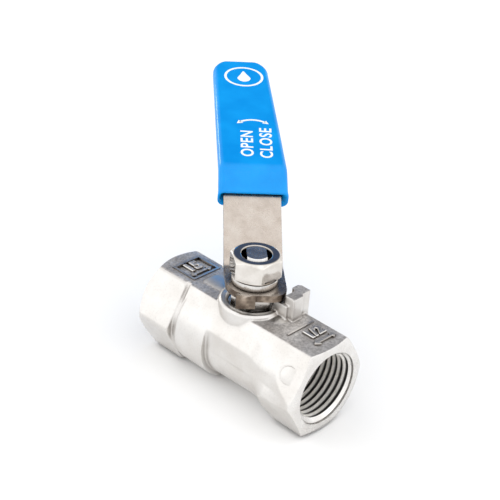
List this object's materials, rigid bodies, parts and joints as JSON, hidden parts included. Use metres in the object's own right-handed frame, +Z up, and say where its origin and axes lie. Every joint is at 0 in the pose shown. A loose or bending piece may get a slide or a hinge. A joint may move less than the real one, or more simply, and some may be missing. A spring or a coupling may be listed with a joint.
{
  "type": "water shutoff valve",
  "caption": "Compact threaded ball valve in stainless steel, with hexagon ends and a sleeved quarter-turn lever.",
  "frame": {"origin": "centre of the outlet end face, on the pipe axis", "axes": "+X out of the outlet port along the pipe, +Z up along the stem towards the lever nut, +Y across the pipe"},
  "size_m": [0.1038, 0.0826, 0.0604],
  "materials": {
    "cast_steel": "cast stainless steel, shot blasted to a fine satin grain",
    "machined_steel": "turned stainless steel, bright",
    "lever_steel": "stamped stainless sheet, tumbled satin",
    "fastener_steel": "cold-formed stainless steel, polished",
    "ball_steel": "ground and polished stainless steel",
    "seal_plastic": "moulded PTFE, waxy white",
    "sleeve_vinyl": "dipped vinyl, semi-gloss, with white printing"
  },
  "bodies": {
    "valve_body": {"body": "cast_steel", "retainer": "machined_steel", "retainer_seal": "seal_plastic", "inlet_seat": "seal_plastic", "outlet_seat": "seal_plastic", "thrust_washer": "seal_plastic", "packing_ring_lower": "seal_plastic", "packing_ring_upper": "seal_plastic", "gland_nut": "machined_steel"},
    "lever_set": {"lever": "lever_steel", "lever_sleeve": "sleeve_vinyl", "spring_washer": "fastener_steel", "lever_nut": "fastener_steel", "stem": "machined_steel"},
    "ball_set": {"ball": "ball_steel"}
  },
  "joints": [
    {"name": "lever_turn", "type": "hinge", "parent": "valve_body", "child": "lever_set", "pos_m": [-0.029, 0, 0.0179], "axis": [0, 0, 1], "range_deg": [-48.5, 41.5]},
    {"name": "ball_turn", "type": "hinge", "parent": "valve_body", "child": "ball_set", "pos_m": [-0.029, 0, 0], "axis": [0, 0, 1], "range_deg": [-48.5, 41.5]}
  ],
  "couplings": [
    {"joint": "ball_turn", "follows": "lever_turn", "ratio": 1}
  ]
}
